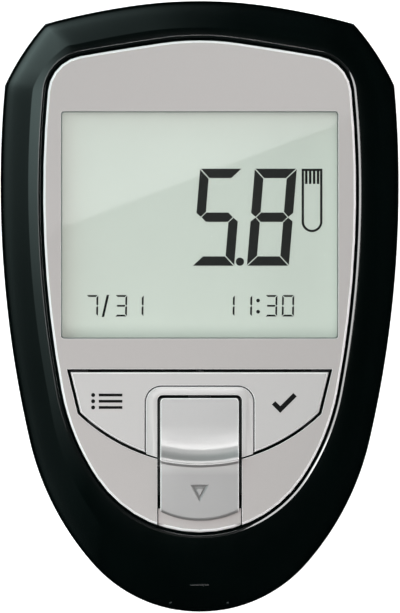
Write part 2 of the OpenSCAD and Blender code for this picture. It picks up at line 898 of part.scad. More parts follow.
// Points of an arc that starts at a slope and rises by a height over a run: [distance, height].
function rising_arc(start, slope, run, rise, steps) =
    let (end = 2 * atan(rise / run) - slope, r = run / (sin(end) - sin(slope)))
    [for (k = [1 : steps])
        let (a = slope + (end - slope) * k / steps)
        start + r * [sin(a) - sin(slope), cos(slope) - cos(a)]
    ];

// Half section of the cap on a plane through the ridge's centre: [distance, height].
function cap_section() =
    let (
        r_top = ridge_radius - ridge_drop - 1,
        r_end = ridge_radius + slide_l - ridge_drop + 1,
        dish_start = [ridge_radius - dish_run - ridge_run, z_cap_top],
        dish_rise = dish_run * tan(dish_slope / 2),
        dish_end = dish_start + [dish_run, dish_rise],
        crest = z_cap_top + ridge_h
    )
    concat(
        [[r_top, z_cap], [r_top, z_cap_top], dish_start],
        rising_arc(dish_start, 0, dish_run, dish_rise, 5),
        rising_arc(dish_end, dish_slope, ridge_run, ridge_h - dish_rise, 6),
        [
            [ridge_radius + 0.2, crest + 0.09],
            [ridge_radius + 0.5, crest + 0.11],
            [ridge_radius + 0.7, crest + 0.02],
            [ridge_radius + 0.8, crest - 0.25],
            [ridge_radius + 1.1, z_cap_top + 0.05],
            [ridge_radius + 1.15, z_cap_top],
            [r_end, z_cap_top],
            [r_end, z_cap]
        ]
    );

module triangle(width) {
    polygon([[-width / 2, width * 0.46], [width / 2, width * 0.46], [0, -width * 0.46]]);
}

module eject_slide() {
    corner = 0.65;
    mark_line = 0.65;
    y_mark = y_cap_low + 4.5;
    color("silver") {
        difference() {
            intersection() {
                translate([0, y_ridge + ridge_radius, 0]) rotate([0, 0, 180])
                    rotate_extrude($fn = 120) polygon(cap_section());
                plate(z_cap - 1, z_face + 6) round_box(slide_w / 2, y_cap_low - 4, y_cap, corner);
                // The lower end is an arc with a soft edge.
                translate([0, y_cap_low + cap_end_radius, 0]) rotate_extrude($fn = 120) polygon([
                    [0, z_cap - 1],
                    [cap_end_radius, z_cap - 1],
                    [cap_end_radius, z_cap + 0.3],
                    [cap_end_radius - 0.15, z_cap + 0.6],
                    [cap_end_radius - 0.5, z_cap_top + 0.01],
                    [cap_end_radius - 0.6, z_face + 6],
                    [0, z_face + 6]
                ]);
            }
            plate(z_cap_top - mark_depth, z_face + 2) translate([0, y_mark]) difference() {
                triangle(mark_w);
                triangle(mark_w - 2 * mark_line);
            }
        }
        for (k = [0, 1]) {
            translate([0, y_stake - stake_pitch * k, z_pusher])
                cylinder(r = stake_r, h = z_cap + 0.2 - z_pusher);
        }
    }
}

module ejector_pusher() {
    y_high = y_stake + 2;
    foot_half = 2.4;
    foot_gap = 0.25;
    z_foot = z_strip - strip_h / 2 + foot_gap;
    color("white")
    difference() {
        union() {
            block(-pusher_half, pusher_half, y_arm, y_high, z_pusher, z_pusher + pusher_t);
            block(-ear_x - 1.1, ear_x + 1.1, y_ear, y_ear + ear_t, z_pusher, z_pusher + pusher_t);
            block(-arm_half, arm_half, y_arm, y_arm + arm_t, z_foot, z_pusher + pusher_t);
            block(-foot_half, foot_half, y_arm, y_arm + arm_t, z_foot, z_foot + strip_h - 2 * foot_gap);
        }
        for (k = [0, 1]) {
            translate([0, y_stake - stake_pitch * k, z_pusher - 1]) cylinder(r = stake_r + 0.02, h = 4);
        }
    }
}

module slide_springs() {
    wire = 0.16;
    color("lightgray") mirrored()
        translate([ear_x, y_spring_low, z_pusher + pusher_t / 2]) rotate([-90, 0, 0])
            coil(spring_r - wire, spring_r - wire, wire, spring_l, 7);
}

module main_board() {
    slot_low = y_arm - slide_travel - 0.4;
    color("darkgreen")
    difference() {
        plate(z_board, z_board_top) difference() {
            polygon(inset(case_ring, wall + board_gap));
            for (side = [-1, 1], p = posts) {
                translate([side * p.x, p.y]) circle(post_r + 0.4);
            }
            translate([-arm_half - 0.4, slot_low])
                square([2 * arm_half + 0.8, y_arm + arm_t + 0.4 - slot_low]);
        }
        mirrored() for (p = standoffs) {
            translate([p.x, p.y, z_board - 1]) cylinder(r = board_screw_r + 0.15, h = board_t + 2);
        }
    }
}

module strip_socket() {
    half = strip_w / 2 + 1.4;
    slot_low = y_arm - slide_travel - 0.4;
    color("ivory")
    difference() {
        block(-half, half, y_socket_low, y_socket, z_strip - strip_h / 2 - 0.7, z_board);
        block(-strip_w / 2, strip_w / 2, y_socket_low - 1, y_socket + 1,
            z_strip - strip_h / 2, z_strip + strip_h / 2);
        block(-arm_half - 0.3, arm_half + 0.3, slot_low, y_socket + 1, z_strip, z_board + 1);
        for (x = contact_x) {
            block(x - 0.45, x + 0.45, y_contact, y_contact + contact_l + 0.4, z_strip, z_board + 1);
        }
        // Lead-in at the mouth.
        translate([-strip_w / 2, y_socket_low - eps, z_strip]) rotate([0, 90, 0])
            linear_extrude(strip_w) polygon([[-1.15, 0], [1.15, 0], [0.6, 1.2], [-0.6, 1.2]]);
    }
}

contact_x = [-2.7, -0.9, 0.9, 2.7];
contact_l = 6;
y_contact = y_socket_low + 2;

module strip_contacts() {
    leaf = 0.25;
    top = z_board;
    low = z_strip + 0.35;
    y0 = y_contact + 0.2;
    y1 = y_contact + contact_l + 0.2;
    color("gold") for (x = contact_x) {
        translate([x - 0.3, 0, 0]) rotate([90, 0, 90]) linear_extrude(0.6) polygon([
            [y0, top],
            [y0, top - leaf],
            [y0 + 2.2, low],
            [y0 + 3, low],
            [y1 - leaf, top - leaf],
            [y1, top - leaf],
            [y1, top],
            [y1 - leaf * 1.5, top],
            [y0 + 2.8, low + leaf],
            [y0 + 2.4, low + leaf],
            [y0 + leaf * 2, top]
        ]);
    }
}

module cell(flip) {
    nub_r = 2.4;
    nub_l = 1;
    rotate([flip ? -90 : 90, 0, 0]) {
        translate([0, 0, -cell_l / 2]) rotate_extrude() polygon([
            [0, 0],
            [cell_d / 2 - 0.6, 0],
            [cell_d / 2 - 0.2, 0.15],
            [cell_d / 2, 0.6],
            [cell_d / 2, cell_l - nub_l - 0.5],
            [cell_d / 2 - 0.4, cell_l - nub_l],
            [nub_r, cell_l - nub_l],
            [nub_r, cell_l - 0.2],
            [nub_r - 0.2, cell_l],
            [0, cell_l]
        ]);
    }
}

module battery_left() {
    color("orangered")
    translate([-pitch / 2, y_bay - contact_t - cell_l / 2, z_cell]) cell(true);
}

module battery_right() {
    color("orangered")
    translate([pitch / 2, y_bay_low + contact_t + cell_l / 2, z_cell]) cell(false);
}

contact_half = 4;
contact_foot = 3.6;      // below and above the cells' axis
contact_top = 4.2;

module contact_tab(x, y) {
    block(x - contact_half, x + contact_half, y, y + contact_t,
        z_cell - contact_foot, z_cell + contact_top);
}

// Cone-shaped coil that stands out of a contact plate, rooted in it.
module contact_coil() {
    root = 0.15;
    translate([0, 0, -root]) coil(3, 1.9, 0.3, coil_l + root, 3);
}

module bridge_contact() {
    color("lightgray") {
        block(-pitch / 2 - contact_half, pitch / 2 + contact_half, y_bay - contact_t, y_bay,
            z_cell - contact_foot, z_cell + contact_top);
        translate([pitch / 2, y_bay - contact_t, z_cell]) rotate([90, 0, 0]) contact_coil();
    }
}

module positive_contact() {
    color("lightgray") contact_tab(pitch / 2, y_bay_low);
}

module negative_contact() {
    color("lightgray") {
        contact_tab(-pitch / 2, y_bay_low);
        translate([-pitch / 2, y_bay_low + contact_t, z_cell]) rotate([-90, 0, 0]) contact_coil();
    }
}

module processor() {
    half = 4;
    pin_l = 1;
    pin_pitch = 0.8;
    color("dimgray") translate([-x_beside_bay - half - pin_l, y_switch - 2.5, z_board]) {
        block(-half, half, -half, half, -1.4, -0.15);
        for (side = [0 : 3], k = [-4 : 4]) {
            rotate([0, 0, 90 * side])
                block(half - 0.3, half + pin_l, k * pin_pitch - 0.2, k * pin_pitch + 0.2, -0.3, 0);
        }
    }
}

module memory_chip() {
    color("dimgray") translate([-strip_w / 2 - 4.4, y_socket + 4.4, z_board])
        block(-2, 2, -2.5, 2.5, -1.2, 0);
}

module crystal() {
    can_r = 1.1;
    color("lightgray")
    translate([strip_w / 2 + 2.8, y_socket + 2, z_board - can_r]) rotate([-90, 0, 0])
        cylinder(r = can_r, h = 6);
}

module chip_parts() {
    parts = 6;
    step = 1.5;
    color("tan") for (k = [0 : parts - 1]) {
        translate([(k - (parts - 1) / 2) * step, y_socket + 4, z_board]) block(-0.5, 0.5, 0, 2, -0.7, 0);
    }
}

module buzzer() {
    buzzer_h = 2.8;
    y = y_switch - 2.2;
    x = half_at(case_half, y) - wall - board_gap - buzzer_d / 2;
    color("dimgray") translate([x, y, z_board - buzzer_h]) difference() {
        cylinder(r = buzzer_d / 2, h = buzzer_h);
        translate([0, 0, -1]) cylinder(r = 1, h = 2);
    }
}

module case_screws() {
    head_h = 1.5;
    socket_r = case_head_r * 0.47;
    color("dimgray") mirrored() for (p = posts) {
        translate([p.x, p.y, post_head_z - head_h]) {
            difference() {
                cylinder(r = case_head_r, h = head_h);
                translate([0, 0, -eps]) cylinder(r = socket_r, h = head_h * 0.6, $fn = 6);
            }
            cylinder(r = case_screw_r, h = z_part + post_grip - 1 - post_head_z + head_h);
        }
    }
}

module board_screws() {
    head_h = 1;
    socket_r = board_head_r * 0.47;
    shank = board_t + board_grip - 1;
    color("lightgray") mirrored() for (p = standoffs) {
        translate([p.x, p.y, z_board_top]) {
            difference() {
                cylinder(r = board_head_r, h = head_h);
                translate([0, 0, head_h * 0.4]) cylinder(r = socket_r, h = head_h, $fn = 6);
            }
            translate([0, 0, -shank]) cylinder(r = board_screw_r, h = shank + head_h * 0.2);
        }
    }
}

front_case();
rear_case();
battery_door();
face_plate();
display_window();
lcd_gasket();
lcd_panel();
lcd_holder();
contact_strip();
key_plate();
key_axle();
key_switches();
slide_bed();
eject_slide();
ejector_pusher();
slide_springs();
main_board();
strip_socket();
strip_contacts();
battery_left();
battery_right();
bridge_contact();
positive_contact();
negative_contact();
processor();
memory_chip();
crystal();
chip_parts();
buzzer();
case_screws();
board_screws();
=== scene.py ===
"""Dresses the blood glucose meter: moulded shells, lacquered face, display, keys and studio light.

Lengths below are in millimetres, as in the part's own source, and MM turns them into metres.
+Z comes out of the display and +Y points to the display end.
"""
import math

import bmesh
import bpy
from mathutils import Matrix, Vector

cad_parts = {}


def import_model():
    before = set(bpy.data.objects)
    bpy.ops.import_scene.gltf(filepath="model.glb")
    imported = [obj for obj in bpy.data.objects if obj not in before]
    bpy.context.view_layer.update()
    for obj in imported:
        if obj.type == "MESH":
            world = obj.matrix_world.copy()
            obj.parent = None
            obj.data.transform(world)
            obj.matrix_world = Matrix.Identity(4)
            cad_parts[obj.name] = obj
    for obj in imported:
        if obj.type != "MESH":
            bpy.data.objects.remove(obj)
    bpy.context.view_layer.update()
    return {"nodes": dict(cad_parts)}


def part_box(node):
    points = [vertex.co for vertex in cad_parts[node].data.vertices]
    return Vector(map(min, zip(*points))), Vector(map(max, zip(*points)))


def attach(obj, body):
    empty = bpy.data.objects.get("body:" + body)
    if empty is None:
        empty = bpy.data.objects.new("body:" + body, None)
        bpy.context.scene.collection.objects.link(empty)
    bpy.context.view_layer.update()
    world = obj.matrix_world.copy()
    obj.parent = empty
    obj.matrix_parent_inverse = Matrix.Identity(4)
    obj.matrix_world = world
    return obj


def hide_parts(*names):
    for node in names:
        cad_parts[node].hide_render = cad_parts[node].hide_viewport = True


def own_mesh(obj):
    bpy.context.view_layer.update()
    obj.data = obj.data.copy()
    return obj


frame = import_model()
nodes = frame["nodes"]
MM = 0.001


def span(node):
    """Lowest and highest corner of a CAD node, in millimetres."""
    low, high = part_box(node)
    return low / MM, high / MM


# Places that follow the frame.
case_low, case_high = span("rear_case")
face_low, face_high = span("face_plate")
cap_low, cap_high = span("eject_slide")
ring_low = span("slide_bed")[0].y       # the slide's bed closes the lower end of the face's outline
Z_FACE = face_high.z
Z_GLASS = span("lcd_panel")[1].z
Z_PART = 12.0           # parting line of the case
CAP_RISE = 0.4          # of the slide's flats above the face

# Outlines: (radius, turn in degrees, steps) clockwise from the middle of the top edge. A radius of
# 0 is a corner.
CASE_BENDS = [(76, 8.6, 3), (121, 6.5, 3), (0, 33.6, 0), (42, 16.3, 5), (0, 20, 0), (183, 18, 8),
              (45.5, 28.4, 8)]
FACE_BENDS = [(43.4, 8.3, 3), (476, 1.6, 3), (6.3, 74.7, 5), (173.5, 16.1, 8), (37.5, 23.15, 8)]
LAST_STEPS = 7          # of the bend that closes the lower end
FINE = 6                # points for each step
CORNER_PASSES = 3       # of rounding on the case's outline

# Front case section.
WALL = 2.0
DRAFT = 0.15
BEAD = 0.25             # round of the edge at the parting line
SHOULDER_FOOT = 2.5     # straight side above the parting line
SHOULDER_END = 78       # turn of the shoulder's curve, in degrees
SHOULDER_STEPS = 26
SHOULDER_LAST = 0.995   # a ring close to the shoulder's end keeps the lip crisp
LIP_DROP = 0.7          # of the lip below the face
LIP_WIDTH = 0.42        # ledge along the lip, which leans towards the face plate
LIP_LEAN = (4.9, 6.5)   # its slope at the outer and inner side, in degrees
LIP_STEPS = 5
LIP_EDGE = 0.08         # round of its inner edge
ROUND_STEPS = 4         # of each rounded edge
GROOVE = 0.45           # gap round the face plate
FACE_T = 1.6            # of the face plate, which lies on the seat
SEAT_W = 1.4
SEAT_T = 1.6
TONGUE_H = 1.0          # height of the rear case's tongue inside the wall
TONGUE_T = 0.75         # its thickness
TONGUE_ROOM = 0.2       # above it
INSIDE_STRAIGHT = 4.5   # inner side above the parting line
INSIDE_DROP = 0.8       # of the inner corner below the seat's underside
INSIDE_SHARE = 0.45     # its part of the way from the inner wall to the groove


def along(radius, turn, heading, part):
    """Offset from the start of a bend to a point on it."""
    a = math.radians(heading)
    b = math.radians(heading + turn * part)
    return Vector((radius * (math.sin(b) - math.sin(a)), radius * (math.cos(b) - math.cos(a))))


def outline(bends, width, length, top):
    """Clockwise ring of points, brought to its width and length, with its top edge at top."""
    at = Vector((0, 0))
    heading = 0
    half = [at]
    for radius, turn, steps in bends:
        count = steps * FINE
        half += [at + along(radius, turn, heading, k / count) for k in range(1, count + 1)]
        at = at + along(radius, turn, heading, 1)
        heading += turn
    count = LAST_STEPS * FINE
    last = at.x / math.sin(math.radians(heading))
    half += [at + along(last, 180 - heading, heading, k / count) for k in range(1, count + 1)]
    scale_x = width / 2 / max(p.x for p in half)
    scale_y = length / -half[-1].y
    half = [Vector((p.x * scale_x, top + p.y * scale_y)) for p in half]
    return half + [Vector((-p.x, p.y)) for p in reversed(half[1:-1])]


def softened(ring, passes):
    """The ring with its corners rounded off."""
    for _ in range(passes):
        count = len(ring)
        ring = [(ring[i - 1] + 2 * ring[i] + ring[(i + 1) % count]) / 4 for i in range(count)]
    return ring


def inset(ring, distance):
    """The clockwise ring moved inwards, or outwards where distance is negative."""
    least_turn = 0.5        # keeps a sharp corner from running away
    moved = []
    count = len(ring)
    for i in range(count):
        a = (ring[i] - ring[i - 1]).normalized()
        b = (ring[(i + 1) % count] - ring[i]).normalized()
        t = (a + b).normalized()
        moved.append(ring[i] + distance / max(least_turn, t.dot(b)) * Vector((t.y, -t.x)))
    return moved


def between(a, b, part):
    """The ring at a part of the way from one ring to another."""
    return [p.lerp(q, part) for p, q in zip(a, b)]


def lifted(ring, z):
    """The flat ring at a height."""
    return [(p.x, p.y, z) for p in ring]


case_ring = softened(outline(CASE_BENDS, case_high.x - case_low.x, case_high.y - case_low.y,
                             case_high.y), CORNER_PASSES)
face_ring = outline(FACE_BENDS, face_high.x - face_low.x, face_high.y - ring_low, face_high.y)


# Mesh building.

def make(name, mesh_data, material, body, smooth=True):
    """A new piece from a bmesh in millimetres, riding on a body."""
    mesh = bpy.data.meshes.new(name)
    bmesh.ops.scale(mesh_data, vec=(MM, MM, MM), verts=mesh_data.verts)
    bmesh.ops.recalc_face_normals(mesh_data, faces=mesh_data.faces)
    mesh_data.to_mesh(mesh)
    mesh_data.free()
    mesh.polygons.foreach_set("use_smooth", [smooth] * len(mesh.polygons))
    mesh.materials.append(material)
    piece = bpy.data.objects.new(name, mesh)
    bpy.context.scene.collection.objects.link(piece)
    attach(piece, body)
    return piece


def loft(mesh_data, rings, looped=False):
    """Quads over a stack of rings of 3D points; without looped the two ends are closed flat."""
    rows = [[mesh_data.verts.new(p) for p in ring] for ring in rings]
    pairs = list(zip(rows, rows[1:])) + ([(rows[-1], rows[0])] if looped else [])
    for low, high in pairs:
        for i in range(len(low)):
            j = (i + 1) % len(low)
            mesh_data.faces.new((low[i], low[j], high[j], high[i]))
    if not looped:
        mesh_data.faces.new(rows[0][::-1])
        mesh_data.faces.new(rows[-1])


def prism(mesh_data, points, low, high):
    """A flat outline with a thickness, between two heights."""
    loft(mesh_data, [[(x, y, z) for x, y in points] for z in (low, high)])


def box_prism(mesh_data, left, right, near, far, low, high):
    """An upright block between two corners in plan."""
    prism(mesh_data, [(left, near), (right, near), (right, far), (left, far)], low, high)


def disc(mesh_data, x, y, radius, low, high, sides=32):
    """An upright disc."""
    turns = [2 * math.pi * k / sides for k in range(sides)]
    prism(mesh_data, [(x + radius * math.cos(t), y + radius * math.sin(t)) for t in turns], low, high)


# Materials.

NOISE_LOW, NOISE_HIGH = 0.3, 0.7        # most values of a noise lie between these
MOTTLE_DETAIL = 4
ROUGH_DETAIL = 5
GRAIN_DETAIL = 3
ROUGH_FINER = 3                         # roughness varies this many times finer than colour


def link(tree, output, socket):
    """Joins a node's output to another node's socket."""
    tree.links.new(output, socket)


def noise(tree, place, size, detail):
    """A noise with grains of a size in millimetres."""
    node = tree.nodes.new("ShaderNodeTexNoise")
    node.inputs["Scale"].default_value = 1 / (size * MM)
    node.inputs["Detail"].default_value = detail
    link(tree, place, node.inputs["Vector"])
    return node.outputs["Fac"]


def mottled(tree, value, colour, share):
    """The colour, darker and lighter by a share as the value changes."""
    node = tree.nodes.new("ShaderNodeValToRGB")
    stops = ((NOISE_LOW, 1 - share), (NOISE_HIGH, 1 + share))
    for element, (position, gain) in zip(node.color_ramp.elements, stops):
        element.position = position
        element.color = (*[min(1, c * gain) for c in colour], 1)
    link(tree, value, node.inputs["Fac"])
    return node.outputs["Color"]


def layered(tree, place, colour, layer):
    """The colour with a layer's own colour past a place on one axis.

    A layer is (axis, place, colour, fade): its colour takes over below the place on that axis, or
    above it where the fade is negative.
    """
    axis, end, layer_colour, fade = layer
    split = tree.nodes.new("ShaderNodeSeparateXYZ")
    link(tree, place, split.inputs[0])
    edge = tree.nodes.new("ShaderNodeMapRange")
    edge.inputs["From Min"].default_value = (end - fade) * MM
    edge.inputs["From Max"].default_value = end * MM
    link(tree, split.outputs[axis], edge.inputs["Value"])
    mix = tree.nodes.new("ShaderNodeMix")
    mix.data_type = "RGBA"
    mix.inputs["A"].default_value = (*layer_colour, 1)
    link(tree, edge.outputs["Result"], mix.inputs["Factor"])
    link(tree, colour, mix.inputs["B"])
    return mix.outputs["Result"]


def varied(tree, value, middle, share):
    """A number that varies about its middle by a share as the value changes."""
    node = tree.nodes.new("ShaderNodeMapRange")
    for socket, level in (("From Min", NOISE_LOW), ("From Max", NOISE_HIGH),
                          ("To Min", middle * (1 - share)), ("To Max", middle * (1 + share))):
        node.inputs[socket].default_value = level
    link(tree, value, node.inputs["Value"])
    return node.outputs["Result"]


def bumped(tree, value, depth):
    """A normal for a relief of a depth in millimetres."""
    bump = tree.nodes.new("ShaderNodeBump")
    bump.inputs["Strength"].default_value = 1
    bump.inputs["Distance"].default_value = depth * MM
    link(tree, value, bump.inputs["Height"])
    return bump.outputs["Normal"]


def finish(name, colour, rough=0.4, metallic=0.0, coat=0.0, coat_rough=0.03, mottle=0.06,
           mottle_size=6.0, rough_spread=0.05, grain=0.0, grain_size=0.25, alpha=1.0, ior=1.5,
           specular=0.5, layers=()):
    """A surface with mottled colour and roughness and a fine moulded grain, sizes in millimetres."""
    material = bpy.data.materials.new(name)
    material.use_nodes = True
    tree = material.node_tree
    shader = tree.nodes["Principled BSDF"]
    for socket, value in (("Metallic", metallic), ("Coat Weight", coat),
                          ("Coat Roughness", coat_rough), ("Alpha", alpha), ("IOR", ior),
                          ("Specular IOR Level", specular)):
        shader.inputs[socket].default_value = value
    place = tree.nodes.new("ShaderNodeTexCoord").outputs["Object"]

    shown = mottled(tree, noise(tree, place, mottle_size, MOTTLE_DETAIL), colour, mottle)
    for layer in layers:
        shown = layered(tree, place, shown, layer)
    link(tree, shown, shader.inputs["Base Color"])

    patches = noise(tree, place, mottle_size / ROUGH_FINER, ROUGH_DETAIL)
    link(tree, varied(tree, patches, rough, rough_spread), shader.inputs["Roughness"])
    if grain:
        relief = bumped(tree, noise(tree, place, grain_size, GRAIN_DETAIL), grain)
        link(tree, relief, shader.inputs["Normal"])
    return material


FACE_COLOUR = (0.455, 0.42, 0.413)
KEY_COLOUR = (0.485, 0.461, 0.456)
SLIDE_COLOUR = (0.362, 0.351, 0.349)
SLIDE_PAINTED_SHADE = (0.284, 0.275, 0.274)       # painted shade on the slide past its thumb ridge
# Painted highlight: the pale colour of broken edges and chamfers.
EDGE_HIGHLIGHT_COLOUR = (0.95, 0.925, 0.925)
# Painted shade: the deep gaps near black, the key plate's sides and rim groove dark grey.
GAP_SHADE_COLOUR = (0.004, 0.005, 0.005)
KEY_GROOVE_SHADE_COLOUR = (0.05, 0.05, 0.05)

# Layers, and where they end.
SHARP = 0.05            # fade of a clean end
RIDGE_SHADE_FADE = 1.2
RIDGE_SHADE_REACH = 11.2      # from the slide's upper end to the top of the painted shade past its thumb ridge
GAP_SHADE_DEPTH = 1.05       # below the face, under which the gaps are painted near black as painted shade
KEY_GROOVE_SHADE_DEPTH = 0.22   # the same on the key plate's sides and the groove at its rim's foot, painted dark grey as painted shade
LOW_EDGE_HIGHLIGHT_REACH = 1.3    # of the painted highlight on the edge at the face's lower end
ARROW_ROOM_X = 2.0      # half the width round the arrow
ARROW_ROOM_Y = 7        # from the slide's lower end to past the arrow
# Painted shade: surfaces below these heights in the gaps and grooves are coloured dark.
GAP_SHADE = ("Z", Z_FACE - GAP_SHADE_DEPTH, GAP_SHADE_COLOUR, SHARP)
KEY_GROOVE_SHADE = ("Z", Z_FACE - KEY_GROOVE_SHADE_DEPTH, KEY_GROOVE_SHADE_COLOUR, SHARP)
# Painted shade on the slide's lower part past its thumb ridge.
PAST_RIDGE_SHADE = ("Y", cap_high.y - RIDGE_SHADE_REACH, SLIDE_PAINTED_SHADE, RIDGE_SHADE_FADE)
# Painted highlight on the tray's chamfer at the face's lower end.
LOW_EDGE_HIGHLIGHT = ("Y", ring_low + LOW_EDGE_HIGHLIGHT_REACH, EDGE_HIGHLIGHT_COLOUR, SHARP)
# Round the recess of the arrow the edges take the slide's painted shade instead of the painted edge
# highlight.
ROUND_ARROW = [("X", ARROW_ROOM_X, SLIDE_PAINTED_SHADE, SHARP), ("X", -ARROW_ROOM_X, EDGE_HIGHLIGHT_COLOUR, SHARP),
               ("Y", cap_low.y + ARROW_ROOM_Y, EDGE_HIGHLIGHT_COLOUR, -SHARP)]


def lacquer(name, colour, metallic=0.08, coat=0.4, coat_rough=0.2, **more):
    """Pearl silver lacquer under a clear coat."""
    return finish(name, colour, rough=0.4, metallic=metallic, coat=coat, coat_rough=coat_rough,
                  mottle=0.02, mottle_size=0.12, grain=0.0006, grain_size=0.12, specular=0.15, **more)


def painted_edge_highlight(name, colour=EDGE_HIGHLIGHT_COLOUR, **more):
    """A pale colour painted on a broken edge as its highlight."""
    return finish(name, colour, rough=0.35, coat=0.3, mottle=0.02, mottle_size=3, **more)


BLACK_GLOSS = finish("black_gloss", (0.001, 0.0026, 0.0024), rough=0.3, coat=1.0, coat_rough=0.02,
                     mottle=0.15, mottle_size=9, rough_spread=0.15, grain=0.0004, grain_size=1.2,
                     specular=0.04)
BLACK_MATTE = finish("black_matte", (0.016, 0.0165, 0.017), rough=0.55, mottle=0.12, mottle_size=2,
                     grain=0.012, grain_size=0.22)
FACE_SILVER = lacquer("silver_face", FACE_COLOUR, coat=0.35, coat_rough=0.02)
KEY_SILVER = lacquer("silver_keys", KEY_COLOUR, layers=[KEY_GROOVE_SHADE])
SLIDE_SILVER = lacquer("silver_slide", SLIDE_COLOUR, metallic=0.25, coat=1.0, coat_rough=0.24,
                       layers=[PAST_RIDGE_SHADE, GAP_SHADE])
TRAY_SILVER = lacquer("silver_tray", FACE_COLOUR, coat=0.1, coat_rough=0.1, layers=[GAP_SHADE])
# Painted highlights on the broken edges and chamfers of the lacquered parts.
EDGE_PAINTED_HIGHLIGHT = painted_edge_highlight("edge_painted_highlight")
SLIDE_EDGE_HIGHLIGHT = painted_edge_highlight("slide_edge_painted_highlight", layers=ROUND_ARROW + [GAP_SHADE])
TRAY_EDGE_HIGHLIGHT = painted_edge_highlight("tray_edge_painted_highlight", FACE_COLOUR, layers=[LOW_EDGE_HIGHLIGHT, GAP_SHADE])
LENS = finish("lens_acrylic", (0.25, 0.28, 0.26), rough=0.03, alpha=0.035, ior=1.6, mottle=0.01,
              mottle_size=20, specular=0.8)
LENS_EDGE = finish("lens_edge", (0.3, 0.325, 0.305), rough=0.3, mottle=0.05, mottle_size=3)
GLASS = finish("display_glass", (0.71, 0.76, 0.685), rough=0.5, coat=1.0, coat_rough=0.01,
               mottle=0.01, mottle_size=14, specular=0.2)
FOAM = finish("foam", (0.45, 0.48, 0.45), rough=0.9, mottle=0.15, mottle_size=0.3, grain=0.05)
WHITE = finish("white_plastic", (0.75, 0.74, 0.7), rough=0.45, grain=0.004)
RUBBER = finish("elastomer", (0.55, 0.55, 0.57), rough=0.7, mottle=0.3, mottle_size=0.2)
STEEL = finish("nickel_steel", (0.62, 0.61, 0.6), rough=0.28, metallic=1.0, mottle=0.08,
               mottle_size=1.5, grain=0.002)
DARK_STEEL = finish("oxided_steel", (0.03, 0.03, 0.032), rough=0.45, metallic=0.3, mottle=0.15,
                    mottle_size=0.8)
DARK = finish("dark_plastic", (0.02, 0.02, 0.021), rough=0.5, grain=0.006)
BOARD = finish("solder_mask", (0.002, 0.006, 0.004), rough=0.5, mottle=0.2, mottle_size=1.5,
               grain=0.004, specular=0.2)
GOLD = finish("gold_plate", (0.83, 0.58, 0.2), rough=0.25, metallic=1.0)
CELL = finish("cell_sleeve", (0.55, 0.12, 0.02), rough=0.3, coat=0.5, mottle=0.05)
CERAMIC = finish("ceramic", (0.42, 0.33, 0.22), rough=0.6, mottle=0.2, mottle_size=0.5)
INK = finish("display_ink", (0.008, 0.007, 0.007), rough=0.7, mottle=0.2, mottle_size=1.5,
             specular=0.05)
PRINT = finish("key_print", (0.006, 0.006, 0.006), rough=0.7, mottle=0.2, mottle_size=0.6,
               grain=0.002, specular=0.1)


# The CAD nodes that are carried over, with softly broken edges.

DRESS = {
    "rear_case": BLACK_MATTE, "battery_door": BLACK_MATTE, "face_plate": FACE_SILVER,
    "display_window": LENS, "lcd_gasket": FOAM, "lcd_panel": GLASS, "lcd_holder": DARK,
    "contact_strip": RUBBER, "key_plate": KEY_SILVER, "key_axle": DARK_STEEL, "key_switches": DARK,
    "slide_bed": TRAY_SILVER, "eject_slide": SLIDE_SILVER, "ejector_pusher": DARK,
    "main_board": BOARD, "strip_socket": WHITE, "strip_contacts": GOLD, "battery_left": CELL,
    "battery_right": CELL, "bridge_contact": STEEL, "positive_contact": STEEL,
    "negative_contact": STEEL, "processor": DARK, "memory_chip": DARK, "crystal": STEEL,
    "chip_parts": CERAMIC, "buzzer": DARK, "case_screws": DARK_STEEL, "board_screws": DARK_STEEL,
}
PLAIN_EDGE = (0.06, None)
# Broken edges that show a material of their own: (width, material). On the lacquered parts this is a
# painted highlight.
EDGES = {
    "face_plate": (0.13, EDGE_PAINTED_HIGHLIGHT), "key_plate": (0.13, EDGE_PAINTED_HIGHLIGHT),
    "eject_slide": (0.13, SLIDE_EDGE_HIGHLIGHT), "slide_bed": (0.16, TRAY_EDGE_HIGHLIGHT),
    "display_window": (0.25, LENS_EDGE),
}
CHAMFERED = ("face_plate", "key_plate", "slide_bed")
CHAMFER_RISE = (0.3, 0.93)      # a face whose normal rises between these is a chamfer
# Nodes whose smallest facets would otherwise hold back the width of every edge.
WIDE_EDGES = ("eject_slide", "slide_bed")
WELD_REACH = 0.001
FLAT_ANGLE = 0.5        # faces that turn by less, in degrees, become one
EDGE_ANGLE = 35         # edges that turn by more, in degrees, are broken
# The foot of the thumb ridge turns by less than this and keeps its dark line.
EDGE_ANGLES = {"eject_slide": 45.3}


def paint(mesh, material, edge_material):
    """Gives a CAD mesh its materials, smooth shading and no normals from its file."""
    mesh.materials.clear()
    mesh.materials.append(material)
    if edge_material:
        mesh.materials.append(edge_material)
    for attribute in ("custom_normal", "sharp_edge", "sharp_face"):
        if attribute in mesh.attributes:
            mesh.attributes.remove(mesh.attributes[attribute])
    mesh.polygons.foreach_set("use_smooth", [True] * len(mesh.polygons))


def dress(name, material, width, edge_material):
    """A carried-over CAD node with its material and softly broken edges."""
    piece = nodes[name]
    paint(piece.data, material, edge_material)
    weld = piece.modifiers.new("weld", "WELD")
    weld.merge_threshold = WELD_REACH * MM
    flat = piece.modifiers.new("flats", "DECIMATE")
    flat.decimate_type = "DISSOLVE"
    flat.angle_limit = math.radians(FLAT_ANGLE)
    bevel = piece.modifiers.new("edges", "BEVEL")
    bevel.width = width * MM
    bevel.segments = 2
    bevel.limit_method = "ANGLE"
    bevel.angle_limit = math.radians(EDGE_ANGLES.get(name, EDGE_ANGLE))
    bevel.harden_normals = True
    bevel.use_clamp_overlap = name not in WIDE_EDGES
    if edge_material:
        bevel.material = 1
    piece.modifiers.new("weighted", "WEIGHTED_NORMAL")


